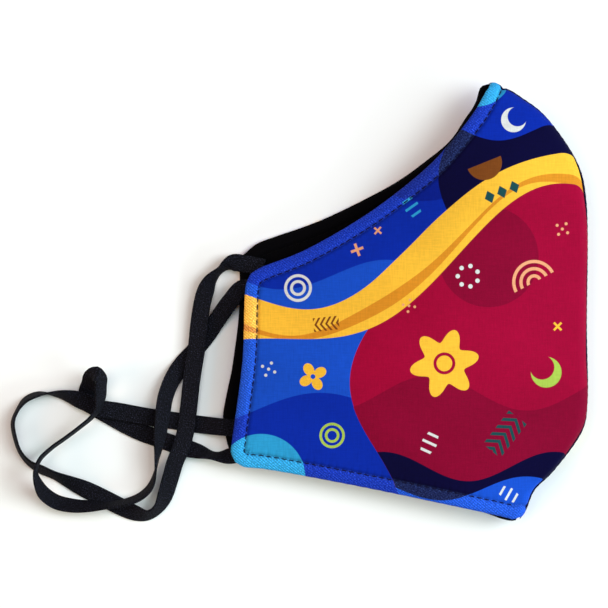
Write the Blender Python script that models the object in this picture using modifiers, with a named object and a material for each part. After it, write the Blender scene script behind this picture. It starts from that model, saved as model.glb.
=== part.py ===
"""Fitted cloth face mask, folded in half along its centre seam and laid on its side.

The mask is two halves sewn together along a curved centre seam. Each half is a
printed outer panel with a dark lining inside it, and a flat elastic ear loop is
sewn to the two corners of its side edge. Folded at the seam, the lower half lies
flat on the surface, the upper half arches over it and the hollow between them
stays open at the side edge.

Units are metres, +Z is up and z = 0 is the surface. +X points from the side
edges to the seam and +Y from the chin to the nose. The origin is below the
middle of the folded mask.
"""

import math
from collections import namedtuple

import bmesh
import bpy
import numpy as np

MM = 0.001

# Driving dimensions of one half, laid out flat
HALF_WIDTH = 120.9 * MM
CENTRE_HEIGHT = 148.0 * MM
ARCH_HEIGHT = 26.0 * MM
SEAM_HEIGHT = 14.0 * MM

# Cloth
OUTER_WALL = 1.2 * MM
LINING_WALL = 1.0 * MM
LAYER_GAP = 0.35 * MM
LINING_INSET = 0.8 * MM

# The folded mask's middle lies this far towards the seam from the upper half's middle
SHIFT = 0.95 * MM

# Centre seam: the two halves bend into it and meet across a small gap
SEAM_GAP = 0.3 * MM
SEAM_LIP = 0.4 * MM
SEAM_INNER_BEND = 0.8 * MM
SEAM_BEND = SEAM_INNER_BEND + OUTER_WALL + LAYER_GAP + LINING_WALL

# Elastic
ELASTIC_WIDTH = 6.0 * MM
ELASTIC_THICK = 0.9 * MM
ELASTIC_CLEAR = 0.1 * MM
ELASTIC_STEP = 3.6 * MM

# Facets
ACROSS_STEPS = 13
BEND_STEPS = 3
UP_STEPS = 20
CURVE_STEPS = 10

# Outlines of the two halves, as shares of a half's width (from the side edge) and of its height
# (from the chin). Each edge runs from one rounded corner to the next. The lower half has slipped
# out past the upper one at the top and side edges, and both share the seam.
Place = namedtuple("Place", "across up")

UPPER_TOP_EDGE = (
    Place(0.054, 0.564),
    Place(0.078, 0.577),
    Place(0.200, 0.617),
    Place(0.364, 0.693),
    Place(0.477, 0.759),
    Place(0.561, 0.815),
    Place(0.623, 0.871),
    Place(0.679, 0.938),
    Place(0.726, 0.999),
)
UPPER_BOTTOM_EDGE = (
    Place(0.011, 0.130),
    Place(0.035, 0.119),
    Place(0.089, 0.114),
    Place(0.336, 0.078),
    Place(0.617, 0.032),
    Place(0.781, 0.003),
    Place(0.813, 0.001),
)
UPPER_SIDE_EDGE = (
    Place(0.011, 0.130),
    Place(0.000, 0.152),
    Place(0.004, 0.186),
    Place(0.032, 0.365),
    Place(0.042, 0.540),
    Place(0.054, 0.564),
)
LOWER_TOP_EDGE = (
    Place(0.024, 0.583),
    Place(0.029, 0.601),
    Place(0.045, 0.614),
    Place(0.072, 0.632),
    Place(0.129, 0.650),
    Place(0.194, 0.668),
    Place(0.252, 0.686),
    Place(0.304, 0.705),
    Place(0.351, 0.724),
    Place(0.391, 0.742),
    Place(0.430, 0.760),
    Place(0.466, 0.778),
    Place(0.500, 0.797),
    Place(0.531, 0.816),
    Place(0.559, 0.834),
    Place(0.588, 0.852),
    Place(0.613, 0.870),
    Place(0.632, 0.888),
    Place(0.647, 0.907),
    Place(0.662, 0.926),
    Place(0.678, 0.944),
    Place(0.690, 0.962),
    Place(0.695, 0.980),
    Place(0.703, 0.994),
    Place(0.726, 0.999),
)
LOWER_BOTTOM_EDGE = (
    Place(0.006, 0.142),
    Place(0.020, 0.128),
    Place(0.060, 0.121),
    Place(0.336, 0.082),
    Place(0.617, 0.034),
    Place(0.722, 0.012),
    Place(0.760, 0.001),
    Place(0.784, -0.004),
    Place(0.801, -0.004),
    Place(0.813, 0.001),
)
LOWER_SIDE_EDGE = (
    Place(0.006, 0.142),
    Place(-0.007, 0.166),
    Place(-0.018, 0.205),
    Place(-0.022, 0.238),
    Place(-0.017, 0.265),
    Place(-0.009, 0.298),
    Place(0.002, 0.340),
    Place(0.010, 0.384),
    Place(0.018, 0.432),
    Place(0.024, 0.490),
    Place(0.025, 0.540),
    Place(0.024, 0.583),
)
SEAM_EDGE = (
    Place(0.813, 0.001),
    Place(0.828, 0.021),
    Place(0.851, 0.066),
    Place(0.907, 0.113),
    Place(0.989, 0.209),
    Place(1.000, 0.264),
    Place(0.998, 0.434),
    Place(0.996, 0.735),
    Place(0.975, 0.811),
    Place(0.880, 0.925),
    Place(0.815, 0.966),
    Place(0.767, 0.988),
    Place(0.726, 0.999),
)

# Heights of the outer face, one row for each section from the bottom edge up to the top edge.
# The columns are quarters of the way from the side edge to the seam. The upper half's heights and
# the lower half's are shares of ARCH_HEIGHT, the seam's are shares of SEAM_HEIGHT.
Section = namedtuple("Section", "side quarter middle inner seam")

UPPER_SECTIONS = (
    Section(side=0.400, quarter=0.445, middle=0.480, inner=0.560, seam=0.68),
    Section(side=0.480, quarter=0.750, middle=0.870, inner=0.820, seam=0.85),
    Section(side=0.520, quarter=0.860, middle=1.000, inner=0.920, seam=0.96),
    Section(side=0.485, quarter=0.780, middle=0.950, inner=0.930, seam=1.00),
    Section(side=0.410, quarter=0.500, middle=0.560, inner=0.790, seam=1.05),
)
LOWER_SECTIONS = (
    Section(side=0.015, quarter=0.000, middle=0.010, inner=0.130, seam=0.68),
    Section(side=0.030, quarter=0.000, middle=0.000, inner=0.110, seam=0.85),
    Section(side=0.035, quarter=0.000, middle=0.000, inner=0.115, seam=0.96),
    Section(side=0.030, quarter=0.000, middle=0.000, inner=0.120, seam=1.00),
    Section(side=0.025, quarter=0.000, middle=0.020, inner=0.240, seam=1.05),
)

# Ear loop routes, chosen by hand. A route holds where the elastic's middle line runs, how far its
# lowest edge lies above the surface, in millimetres, and its roll in degrees: 0 and 180 lie flat
# and 90 stands on edge.
Bend = namedtuple("Bend", "x y lift roll")

LEFT_LOOP_ROUTE = (
    Bend(-48.0, 11.5, 3.3, 0),
    Bend(-54.6, 12.7, 3.4, 0),
    Bend(-58.3, 13.2, 3.3, 10),
    Bend(-62.2, 11.3, 0.6, 68),
    Bend(-66.3, 7.4, 0.8, 48),
    Bend(-68.2, 3.1, 2.0, 12),
    Bend(-69.5, -2.3, 2.4, 4),
    Bend(-70.4, -8.8, 2.3, 0),
    Bend(-71.2, -16.6, 2.1, 0),
    Bend(-72.7, -26.1, 2.2, 0),
    Bend(-73.8, -36.0, 1.7, 0),
    Bend(-74.8, -43.8, 1.6, 3),
    Bend(-76.3, -49.6, 1.8, 8),
    Bend(-78.4, -54.7, 1.2, 18),
    Bend(-80.2, -60.8, 0.2, 22),
    Bend(-81.9, -66.2, 0.0, 32),
    Bend(-84.2, -70.6, 0.0, 56),
    Bend(-87.4, -72.8, 0.0, 58),
    Bend(-91.3, -72.3, 0.0, 34),
    Bend(-96.4, -70.3, 0.0, 8),
    Bend(-101.8, -67.6, 0.0, 0),
    Bend(-107.5, -64.8, 0.0, 10),
    Bend(-113.7, -61.9, 0.0, 42),
    Bend(-119.5, -59.3, 0.0, 64),
    Bend(-124.3, -57.2, 0.0, 62),
    Bend(-128.2, -55.0, 0.0, 74),
    Bend(-131.2, -51.4, 0.0, 80),
    Bend(-133.0, -46.4, 0.0, 80),
    Bend(-133.7, -41.2, 0.0, 80),
    Bend(-132.2, -37.2, 0.0, 82),
    Bend(-129.0, -33.9, 0.0, 76),
    Bend(-124.6, -32.0, 0.0, 84),
    Bend(-119.5, -31.7, 0.0, 102),
    Bend(-114.4, -32.4, 0.8, 134),
    Bend(-109.6, -34.1, 2.1, 172),
    Bend(-104.9, -36.3, 2.1, 180),
    Bend(-97.7, -37.5, 1.7, 180),
    Bend(-88.6, -38.9, 1.3, 180),
    Bend(-79.4, -40.4, 0.2, 180),
    Bend(-70.5, -41.9, 0.3, 180),
    Bend(-62.4, -42.8, 3.7, 180),
    Bend(-55.5, -43.4, 3.6, 180),
)
RIGHT_LOOP_ROUTE = (
    Bend(-48.4, 3.0, 8.6, 0),
    Bend(-55.2, 4.5, 6.1, 4),
    Bend(-59.3, 0.4, 4.0, 12),
    Bend(-63.7, -5.7, 0.9, 5),
    Bend(-67.8, -11.8, 0.0, 0),
    Bend(-71.9, -16.9, 0.0, 0),
    Bend(-76.0, -21.4, 0.0, 0),
    Bend(-79.5, -26.8, 0.3, 22),
    Bend(-81.7, -32.6, 1.5, 30),
    Bend(-82.8, -39.7, 2.5, 36),
    Bend(-83.7, -46.9, 2.1, 52),
    Bend(-84.5, -53.3, 1.4, 78),
    Bend(-85.3, -58.8, 0.3, 96),
    Bend(-87.0, -63.3, 0.7, 110),
    Bend(-90.2, -66.4, 2.0, 113),
    Bend(-95.0, -68.4, 2.8, 112),
    Bend(-100.8, -69.4, 2.4, 110),
    Bend(-107.3, -69.8, 1.6, 126),
    Bend(-113.4, -69.6, 0.8, 138),
    Bend(-119.2, -68.2, 1.0, 142),
    Bend(-123.5, -64.9, 3.0, 134),
    Bend(-125.4, -61.1, 6.8, 110),
    Bend(-125.7, -57.4, 7.7, 98),
    Bend(-124.2, -53.7, 5.6, 98),
    Bend(-120.5, -50.0, 2.6, 98),
    Bend(-115.8, -46.6, 1.4, 98),
    Bend(-111.0, -43.0, 2.6, 98),
    Bend(-106.9, -39.6, 3.7, 100),
    Bend(-104.5, -36.5, 4.1, 106),
    Bend(-103.0, -32.5, 5.0, 118),
    Bend(-102.5, -28.9, 6.2, 118),
    Bend(-103.1, -26.1, 7.4, 124),
    Bend(-105.0, -24.6, 8.0, 136),
    Bend(-107.0, -25.6, 6.4, 148),
    Bend(-108.3, -28.0, 2.8, 160),
    Bend(-108.8, -30.8, 0.1, 175),
    Bend(-108.2, -33.6, 0.0, 180),
    Bend(-105.9, -36.1, 0.0, 180),
    Bend(-101.8, -38.5, 0.0, 180),
    Bend(-96.4, -41.4, 0.0, 180),
    Bend(-90.2, -44.6, 0.0, 180),
    Bend(-84.1, -47.3, 0.0, 180),
    Bend(-77.7, -49.4, 0.0, 180),
    Bend(-70.9, -51.4, 0.0, 184),
    Bend(-65.1, -52.9, 0.9, 246),
    Bend(-59.6, -52.6, 3.2, 208),
    Bend(-52.6, -50.3, 7.2, 180),
)

# Finishes: linear colours and how matt the cloths are
PRINTED_BLUE = (0.02, 0.07, 0.52, 1.0)
LINING_BLACK = (0.012, 0.012, 0.016, 1.0)
ELASTIC_BLACK = (0.010, 0.010, 0.014, 1.0)
COTTON_ROUGHNESS = 0.87
ELASTIC_ROUGHNESS = 0.75


def clear_scene():
    """Remove whatever objects the scene holds."""
    for thing in list(bpy.data.objects):
        bpy.data.objects.remove(thing, do_unlink=True)


def make_collection(name):
    """Return a new collection linked to the scene."""
    collection = bpy.data.collections.new(name)
    bpy.context.scene.collection.children.link(collection)
    return collection


def make_material(name, colour, roughness):
    """Return a plain material for one of the mask's cloths."""
    material = bpy.data.materials.new(name)
    material.use_nodes = True
    shader = material.node_tree.nodes["Principled BSDF"]
    shader.inputs["Base Color"].default_value = colour
    shader.inputs["Roughness"].default_value = roughness
    shader.inputs["Metallic"].default_value = 0.0
    return material


def smooth_line(points, steps=CURVE_STEPS):
    """Return close points on a smooth curve that passes through the given ones."""
    points = [np.array(point, dtype=float) for point in points]
    padded = [2 * points[0] - points[1]] + points + [2 * points[-1] - points[-2]]
    line = []
    for before, start, end, after in zip(padded, padded[1:], padded[2:], padded[3:]):
        knots = [0.0]
        for near, far in ((before, start), (start, end), (end, after)):
            knots.append(knots[-1] + math.sqrt(np.linalg.norm(far[:2] - near[:2])))
        for step in range(steps):
            knot = knots[1] + (knots[2] - knots[1]) * step / steps
            line.append(blend_four((before, start, end, after), knots, knot))
    line.append(points[-1])
    return np.array(line)


def blend_four(points, knots, knot):
    """Return the place at one knot of the curve through four points at four knots."""
    level = list(points)
    for first, width in ((0, 1), (0, 2), (1, 1)):
        merged = []
        for index in range(len(level) - 1):
            start, end = knots[first + index], knots[first + index + width]
            share = (knot - start) / (end - start)
            merged.append(level[index] * (1 - share) + level[index + 1] * share)
        level = merged
    return level[0]


def at_share(line, share):
    """Return the place at a share of the length of a line of close points."""
    lengths = np.linalg.norm(np.diff(line[:, :2], axis=0), axis=1)
    travelled = np.concatenate(([0.0], np.cumsum(lengths)))
    wanted = share * travelled[-1]
    return np.array([np.interp(wanted, travelled, line[:, axis]) for axis in range(line.shape[1])])


def smooth_value(values, share):
    """Return the value at a share of the way along evenly spaced values, joined smoothly."""
    last = len(values) - 1
    place = min(max(share, 0.0), 1.0) * last
    start = min(int(place), last - 1)
    step = place - start
    low, high = values[start], values[start + 1]
    before = values[start - 1] if start > 0 else 2 * low - high
    after = values[start + 2] if start + 2 <= last else 2 * high - low
    rise = (high - before) / 2
    leave = (after - low) / 2
    square = step * step
    cube = square * step
    return (
        (2 * cube - 3 * square + 1) * low
        + (cube - 2 * square + step) * rise
        + (3 * square - 2 * cube) * high
        + (cube - square) * leave
    )


class Half:
    """One half of the mask: its outline seen from above and the height of its outer face."""

    def __init__(self, side, sections, top, bottom, edge):
        """Set out the edges. side is 1 for the upper half and -1 for the lower half."""
        self.side = side
        self.sections = sections
        self.top = smooth_line(top)
        self.bottom = smooth_line(bottom)
        self.edge = smooth_line(edge)
        self.seam = smooth_line(SEAM_EDGE)

    def plan(self, across, up):
        """Return x and y at shares of the way from the side edge to the seam and up."""
        top, bottom = at_share(self.top, across), at_share(self.bottom, across)
        edge, seam = at_share(self.edge, up), at_share(self.seam, up)
        between_ends = (1 - up) * bottom + up * top
        between_sides = (1 - across) * edge + across * seam
        corners = (1 - across) * ((1 - up) * self.edge[0] + up * self.edge[-1])
        corners = corners + across * ((1 - up) * self.seam[0] + up * self.seam[-1])
        share = between_ends + between_sides - corners
        return (share[0] - 0.5) * HALF_WIDTH + SHIFT, (share[1] - 0.5) * CENTRE_HEIGHT

    def height(self, across, up):
        """Return the outer face's height before it bends into the seam."""
        columns = [[getattr(row, name) for row in self.sections] for name in Section._fields]
        heights = [smooth_value(column, up) * ARCH_HEIGHT for column in columns[:-1]]
        heights.append(self.seam_height(up) + self.side * SEAM_BEND)
        return max(smooth_value(heights, across), 0.0)

    def seam_height(self, up):
        """Return the height at which this half's outer face starts its bend out of the seam."""
        seam = smooth_value([row.seam for row in self.sections], up) * SEAM_HEIGHT
        return seam + self.side * (SEAM_GAP / 2 + SEAM_LIP)

    def rows(self):
        """Return the places across the half as pairs of a share and a turn through the bend."""
        bend_share = SEAM_BEND / HALF_WIDTH
        rows = []
        for step in range(ACROSS_STEPS):
            rows.append(((1 - bend_share) * step / ACROSS_STEPS, math.pi / 2))
        for step in range(BEND_STEPS, -1, -1):
            turn = math.pi / 2 * step / BEND_STEPS
            rows.append((1 - bend_share * (1 - math.cos(turn)), turn))
        return rows

    def face(self, inset):
        """Return the outer face as an open mesh whose edges are drawn in by inset."""
        rows = self.rows()
        across_in = inset / HALF_WIDTH
        up_in = inset / CENTRE_HEIGHT
        mesh = bmesh.new()
        bmesh.ops.create_grid(mesh, x_segments=len(rows), y_segments=UP_STEPS, size=1.0)
        for vertex in mesh.verts:
            column = round((vertex.co.x + 1) / 2 * len(rows))
            up = up_in + (1 - 2 * up_in) * (vertex.co.y + 1) / 2
            share, turn = rows[min(column, len(rows) - 1)]
            across = across_in + (1 - across_in) * share
            x, y = self.plan(across, up)
            z = self.height(across, up) - self.side * SEAM_BEND * (1 - math.sin(turn))
            if column == len(rows):
                z -= self.side * SEAM_LIP
            vertex.co = (x, y, z)
        if self.side < 0:
            bmesh.ops.reverse_faces(mesh, faces=mesh.faces)
        mesh.normal_update()
        return mesh


def add_object(name, mesh, material, collection):
    """Turn an open mesh into an object with a material and smooth shading."""
    data = bpy.data.meshes.new(name)
    mesh.to_mesh(data)
    mesh.free()
    data.materials.append(material)
    data.shade_smooth()
    thing = bpy.data.objects.new(name, data)
    collection.objects.link(thing)
    return thing


def add_wall(thing, thickness, offset):
    """Give an open face its thickness: offset -1 grows inwards and 0 grows both ways."""
    wall = thing.modifiers.new("wall", "SOLIDIFY")
    wall.thickness = thickness
    wall.offset = offset
    return wall


def add_outer_panel(name, half, material, collection):
    """Build a half's printed panel."""
    panel = add_object(name, half.face(0.0), material, collection)
    add_wall(panel, OUTER_WALL, -1)
    return panel


def add_lining_panel(name, half, material, collection):
    """Build a half's lining, just inside its printed panel."""
    mesh = half.face(LINING_INSET)
    depth = OUTER_WALL + LAYER_GAP
    moves = [vertex.normal.copy() for vertex in mesh.verts]
    for vertex, normal in zip(mesh.verts, moves):
        vertex.co -= normal * depth
    lining = add_object(name, mesh, material, collection)
    add_wall(lining, LINING_WALL, -1)
    return lining


def elastic_sections(route):
    """Return evenly spaced sections along a loop: middle, direction across the band."""
    line = smooth_line(route)
    length = np.linalg.norm(np.diff(line[:, :2], axis=0), axis=1).sum() * MM
    count = math.ceil(length / ELASTIC_STEP)
    places = [at_share(line, step / count) for step in range(count + 1)]
    middles = []
    for x, y, lift, roll in places:
        turn = math.radians(roll)
        rise = ELASTIC_WIDTH / 2 * abs(math.sin(turn)) + ELASTIC_THICK / 2 * abs(math.cos(turn))
        rise += ELASTIC_CLEAR + max(lift, 0.0) * MM
        middles.append(np.array((x * MM, y * MM, rise)))
    sections = []
    for index, middle in enumerate(middles):
        ahead = middles[min(index + 1, count)] - middles[max(index - 1, 0)]
        ahead /= np.linalg.norm(ahead)
        level = np.cross(ahead, (0.0, 0.0, 1.0))
        level /= np.linalg.norm(level)
        upright = np.cross(level, ahead)
        turn = math.radians(places[index][3])
        sections.append((middle, level * math.cos(turn) + upright * math.sin(turn)))
    return sections


def add_ear_loop(name, route, material, collection):
    """Build an ear loop: a flat band of elastic laid along its route."""
    sections = elastic_sections(route)
    mesh = bmesh.new()
    bmesh.ops.create_grid(mesh, x_segments=len(sections) - 1, y_segments=1, size=1.0)
    for vertex in mesh.verts:
        middle, across = sections[round((vertex.co.x + 1) / 2 * (len(sections) - 1))]
        vertex.co = middle + across * vertex.co.y * ELASTIC_WIDTH / 2
    mesh.normal_update()
    loop = add_object(name, mesh, material, collection)
    add_wall(loop, ELASTIC_THICK, 0)
    return loop


def build_mask():
    """Build every piece of the mask."""
    clear_scene()
    collection = make_collection("cloth_face_mask")
    printed = make_material("printed_cloth", PRINTED_BLUE, COTTON_ROUGHNESS)
    lining = make_material("lining_cloth", LINING_BLACK, COTTON_ROUGHNESS)
    elastic = make_material("elastic", ELASTIC_BLACK, ELASTIC_ROUGHNESS)
    halves = {
        "right": Half(1, UPPER_SECTIONS, UPPER_TOP_EDGE, UPPER_BOTTOM_EDGE, UPPER_SIDE_EDGE),
        "left": Half(-1, LOWER_SECTIONS, LOWER_TOP_EDGE, LOWER_BOTTOM_EDGE, LOWER_SIDE_EDGE),
    }
    for side, half in halves.items():
        add_outer_panel("outer_panel_" + side, half, printed, collection)
        add_lining_panel("lining_panel_" + side, half, lining, collection)
    routes = {"right": RIGHT_LOOP_ROUTE, "left": LEFT_LOOP_ROUTE}
    for side, route in routes.items():
        add_ear_loop("ear_loop_" + side, route, elastic, collection)


build_mask()
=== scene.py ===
"""Looks of a fitted cloth face mask, folded in half along its centre seam and laid on its side.

Each half of the mask is a printed outer panel with a dark lining inside it. The free edges are
hemmed and topstitched, and a flat woven elastic is sewn to the two corners of each side edge.
The panels and elastics stand for the frame's soft solids and lie within about a millimetre of them.

Units are metres, +Z is up and z = 0 is the surface. Tables in millimetres say so.
"""

import logging
import math
from collections.abc import Iterable, Sequence
from dataclasses import dataclass, field
from enum import Enum
from typing import NamedTuple

import bpy
import numpy as np
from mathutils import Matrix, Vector, kdtree
from mathutils.bvhtree import BVHTree

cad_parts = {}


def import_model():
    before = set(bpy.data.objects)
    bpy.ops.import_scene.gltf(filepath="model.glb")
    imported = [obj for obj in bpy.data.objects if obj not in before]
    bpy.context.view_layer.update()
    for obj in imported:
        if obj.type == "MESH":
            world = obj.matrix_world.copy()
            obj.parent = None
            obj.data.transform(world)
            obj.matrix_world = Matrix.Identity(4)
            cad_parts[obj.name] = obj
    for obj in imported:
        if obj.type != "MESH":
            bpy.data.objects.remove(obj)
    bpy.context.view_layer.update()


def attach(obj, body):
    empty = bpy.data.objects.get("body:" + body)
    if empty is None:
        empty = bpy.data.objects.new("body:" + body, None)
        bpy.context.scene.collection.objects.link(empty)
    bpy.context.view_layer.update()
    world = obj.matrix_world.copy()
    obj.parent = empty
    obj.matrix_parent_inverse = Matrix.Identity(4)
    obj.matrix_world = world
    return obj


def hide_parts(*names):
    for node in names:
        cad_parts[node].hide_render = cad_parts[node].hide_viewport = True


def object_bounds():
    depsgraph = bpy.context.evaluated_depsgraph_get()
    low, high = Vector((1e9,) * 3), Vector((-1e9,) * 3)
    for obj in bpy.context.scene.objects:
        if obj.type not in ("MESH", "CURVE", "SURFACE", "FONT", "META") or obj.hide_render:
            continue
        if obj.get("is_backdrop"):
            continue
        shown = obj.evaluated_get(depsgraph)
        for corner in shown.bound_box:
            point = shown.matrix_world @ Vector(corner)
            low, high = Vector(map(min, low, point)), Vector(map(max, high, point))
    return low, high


Array = np.ndarray
MM = 0.001
BODY = "root"
RAY_START = 0.1

log = logging.getLogger("cloth_face_mask")


class Place(NamedTuple):
    """A place on a half's outline: shares of its width, from the side edge, and of its height."""

    across: float
    up: float


def along_edge(*shares: tuple[float, float]) -> tuple[Place, ...]:
    """Turn pairs of shares into places along an edge."""
    return tuple(Place(*pair) for pair in shares)


UPPER_TOP_EDGE = along_edge(
    (0.054, 0.564), (0.078, 0.577), (0.200, 0.617), (0.364, 0.693), (0.477, 0.759),
    (0.561, 0.815), (0.623, 0.871), (0.661, 0.910), (0.686, 0.938), (0.709, 0.970),
    (0.7205, 0.989), (0.726, 0.999),
)
UPPER_BOTTOM_EDGE = along_edge(
    (0.011, 0.130), (0.035, 0.119), (0.089, 0.114), (0.336, 0.077), (0.617, 0.031),
    (0.775, 0.003), (0.798, -0.002), (0.813, 0.001),
)
UPPER_SIDE_EDGE = along_edge(
    (0.011, 0.130), (0.000, 0.152), (0.004, 0.186), (0.032, 0.365), (0.042, 0.540),
    (0.054, 0.564),
)
LOWER_TOP_EDGE = along_edge(
    (0.024, 0.583), (0.029, 0.601), (0.045, 0.614), (0.072, 0.632), (0.129, 0.650),
    (0.194, 0.668), (0.252, 0.686), (0.304, 0.705), (0.351, 0.724), (0.391, 0.742),
    (0.430, 0.760), (0.466, 0.778), (0.500, 0.797), (0.531, 0.816), (0.559, 0.834),
    (0.588, 0.852), (0.613, 0.870), (0.632, 0.888), (0.647, 0.907), (0.662, 0.926),
    (0.678, 0.944), (0.690, 0.962), (0.696, 0.980), (0.702, 0.993), (0.713, 1.001),
    (0.726, 0.999),
)
LOWER_BOTTOM_EDGE = along_edge(
    (0.006, 0.142), (0.020, 0.128), (0.060, 0.121), (0.336, 0.082), (0.617, 0.034),
    (0.722, 0.012), (0.760, 0.001), (0.784, -0.004), (0.801, -0.004), (0.813, 0.001),
)
LOWER_SIDE_EDGE = along_edge(
    (0.006, 0.142), (-0.007, 0.166), (-0.018, 0.205), (-0.022, 0.238), (-0.017, 0.265),
    (-0.009, 0.298), (0.002, 0.340), (0.010, 0.384), (0.018, 0.432), (0.024, 0.490),
    (0.025, 0.540), (0.024, 0.583),
)
SEAM_EDGE = along_edge(
    (0.813, 0.001), (0.828, 0.021), (0.851, 0.066), (0.907, 0.113), (0.989, 0.209),
    (1.000, 0.264), (0.998, 0.434), (0.996, 0.735), (0.975, 0.811), (0.880, 0.925),
    (0.815, 0.966), (0.789, 0.9800), (0.7745, 0.9853), (0.7645, 0.9858), (0.7575, 0.9925),
    (0.7430, 0.9988), (0.7320, 1.0000), (0.726, 0.999),
)


class Outline(NamedTuple):
    """A half's outline seen from above, as places along its four edges."""

    top: tuple[Place, ...]
    bottom: tuple[Place, ...]
    side: tuple[Place, ...]
    seam: tuple[Place, ...]


UPPER_OUTLINE = Outline(UPPER_TOP_EDGE, UPPER_BOTTOM_EDGE, UPPER_SIDE_EDGE, SEAM_EDGE)
LOWER_OUTLINE = Outline(LOWER_TOP_EDGE, LOWER_BOTTOM_EDGE, LOWER_SIDE_EDGE, SEAM_EDGE)


class Section(NamedTuple):
    """Heights of a half's outer face along one section, as shares of its arch or seam height."""

    side: float
    quarter: float
    middle: float
    inner: float
    seam: float


UPPER_SECTIONS = (
    Section(side=0.400, quarter=0.445, middle=0.480, inner=0.560, seam=0.68),
    Section(side=0.480, quarter=0.750, middle=0.870, inner=0.820, seam=0.85),
    Section(side=0.520, quarter=0.860, middle=1.000, inner=0.920, seam=0.96),
    Section(side=0.485, quarter=0.780, middle=0.950, inner=0.930, seam=1.00),
    Section(side=0.410, quarter=0.500, middle=0.560, inner=0.790, seam=1.05),
)
LOWER_SECTIONS = (
    Section(side=0.015, quarter=0.000, middle=0.010, inner=0.130, seam=0.68),
    Section(side=0.030, quarter=0.000, middle=0.000, inner=0.110, seam=0.85),
    Section(side=0.035, quarter=0.000, middle=0.000, inner=0.115, seam=0.96),
    Section(side=0.030, quarter=0.000, middle=0.000, inner=0.120, seam=1.00),
    Section(side=0.025, quarter=0.000, middle=0.020, inner=0.240, seam=1.05),
)


class Bend(NamedTuple):
    """A place on an elastic's route, in millimetres and degrees.

    lift is how far the elastic's lowest edge lies above the surface. A roll of 0 or 180 lies
    flat and 90 stands on edge.
    """

    x: float
    y: float
    lift: float
    roll: float


def along_route(*numbers: tuple[float, float, float, float]) -> tuple[Bend, ...]:
    """Turn rows of numbers into bends along a route."""
    return tuple(Bend(*row) for row in numbers)


LOWER_LOOP_ROUTE = along_route(
    (-48.0, 11.5, 3.3, 0), (-54.6, 12.7, 3.4, 0), (-58.3, 13.2, 3.3, 10), (-62.2, 11.3, 0.6, 68),
    (-66.3, 7.4, 0.8, 48), (-68.2, 3.1, 2.0, 12), (-69.5, -2.3, 2.4, 4), (-70.4, -8.8, 2.3, 0),
    (-71.2, -16.6, 2.1, 0), (-72.7, -26.1, 2.2, 0), (-73.8, -36.0, 1.7, 0),
    (-74.8, -43.8, 1.8, 3), (-76.3, -49.6, 2.7, 8), (-78.4, -54.7, 2.1, 16),
    (-80.2, -60.8, 0.5, 22), (-81.9, -66.2, 0.0, 32), (-84.2, -70.6, 0.0, 56),
    (-87.4, -72.8, 0.0, 58), (-91.3, -72.3, 0.0, 34), (-96.4, -70.3, 0.0, 8),
    (-101.8, -67.6, 0.0, 0), (-107.5, -64.8, 0.0, 10), (-113.7, -61.9, 0.0, 42),
    (-119.5, -59.3, 0.0, 64), (-124.3, -57.2, 0.0, 62), (-128.2, -55.0, 0.0, 74),
    (-131.2, -51.4, 0.0, 80), (-133.0, -46.4, 0.0, 80), (-133.7, -41.2, 0.0, 80),
    (-132.2, -37.2, 0.0, 82), (-129.3, -33.5, 0.0, 74), (-124.8, -31.6, 0.0, 77),
    (-119.6, -31.5, 0.0, 104), (-114.4, -32.4, 0.8, 134), (-109.6, -34.1, 2.1, 172),
    (-104.9, -36.3, 2.1, 180), (-97.7, -37.5, 1.7, 180), (-88.6, -39.2, 1.3, 180),
    (-79.4, -40.6, 0.2, 180), (-70.5, -41.9, 0.3, 180), (-62.4, -42.8, 3.7, 180),
    (-55.5, -43.4, 3.6, 180),
)
UPPER_LOOP_ROUTE = along_route(
    (-48.4, 3.0, 8.6, 0), (-55.2, 4.5, 6.1, 4), (-59.3, 0.4, 4.0, 12), (-63.7, -5.7, 0.9, 5),
    (-67.8, -11.8, 0.0, 0), (-71.9, -16.9, 0.0, 0), (-76.0, -21.4, 0.0, 0),
    (-79.5, -26.8, 0.3, 22), (-81.7, -32.6, 1.5, 30), (-82.8, -39.7, 2.5, 36),
    (-83.7, -46.9, 2.1, 52), (-84.5, -53.3, 1.4, 78), (-85.3, -58.8, 0.3, 96),
    (-87.0, -63.3, 0.7, 110), (-90.2, -66.4, 2.0, 113), (-95.0, -68.4, 2.8, 112),
    (-100.8, -69.4, 2.4, 110), (-107.3, -69.8, 1.6, 126), (-113.4, -69.6, 0.8, 138),
    (-119.2, -68.2, 1.0, 142), (-123.5, -64.9, 3.0, 134), (-125.4, -61.1, 6.8, 110),
    (-125.7, -57.4, 7.7, 98), (-124.2, -53.7, 5.6, 98), (-120.5, -50.0, 2.6, 98),
    (-115.8, -46.6, 1.4, 98), (-111.0, -43.0, 2.6, 98), (-106.9, -39.6, 3.7, 100),
    (-104.5, -36.5, 4.1, 106), (-103.7, -32.5, 5.0, 124), (-103.6, -28.9, 6.2, 128),
    (-103.5, -26.1, 7.4, 128), (-105.0, -24.7, 8.0, 140), (-106.8, -25.7, 6.2, 154),
    (-107.4, -28.0, 2.8, 172), (-108.4, -30.8, 0.1, 176), (-108.2, -33.6, 0.0, 180),
    (-105.9, -36.1, 0.0, 180), (-101.8, -38.5, 0.0, 180), (-96.3, -41.6, 0.0, 180),
    (-90.2, -44.6, 0.0, 180), (-84.1, -46.8, 0.0, 180), (-77.7, -49.1, 0.0, 180),
    (-71.2, -51.0, 0.1, 212), (-65.3, -52.6, 0.8, 246), (-59.6, -52.6, 3.2, 208),
    (-52.6, -50.3, 7.2, 180),
)


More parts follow.
